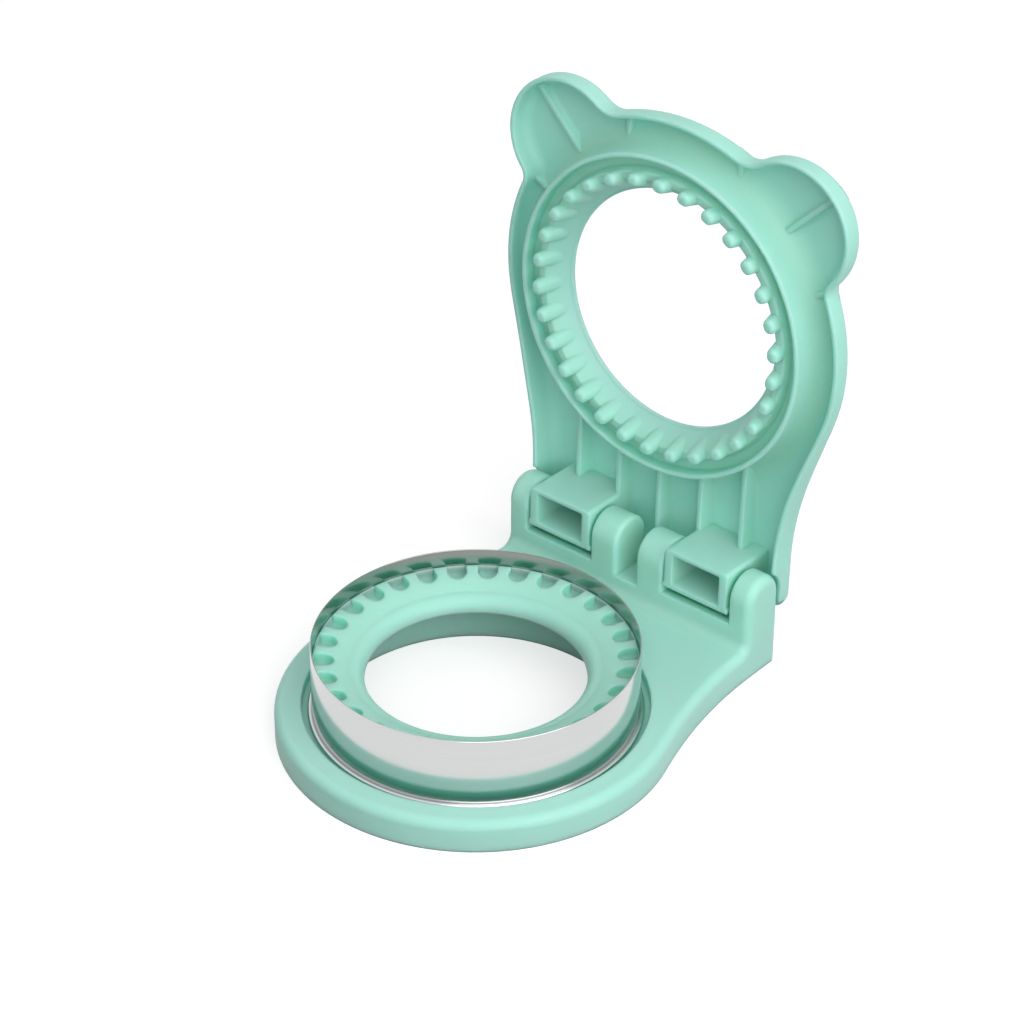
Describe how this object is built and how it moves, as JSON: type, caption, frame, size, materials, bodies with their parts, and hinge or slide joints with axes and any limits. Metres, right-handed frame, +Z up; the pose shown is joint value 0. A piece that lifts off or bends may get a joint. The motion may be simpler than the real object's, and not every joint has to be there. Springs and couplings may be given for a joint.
{
  "type": "sandwich cutter and sealer",
  "caption": "Hinged kitchen press: a steel band on the base cuts a round from a filled sandwich while toothed rings in base and lid crimp its edge shut.",
  "frame": {"origin": "on the resting plane, on the axis of the steel band and of the base's open middle", "axes": "+Z up, +Y from the band towards the hinge, +X along the hinge axis"},
  "size_m": [0.1166, 0.1468, 0.1556],
  "materials": {
    "base_plastic": "satin moulded",
    "lid_plastic": "satin moulded",
    "band_steel": "polished stainless"
  },
  "bodies": {
    "base": {"base": "base_plastic", "cutter_ring": "band_steel"},
    "lid": {"lid": "lid_plastic"}
  },
  "joints": [
    {"name": "lid_hinge", "type": "hinge", "parent": "base", "child": "lid", "pos_m": [0, 0.0732, 0.0238], "axis": [1, 0, 0], "range_deg": [0, 91.5]}
  ]
}
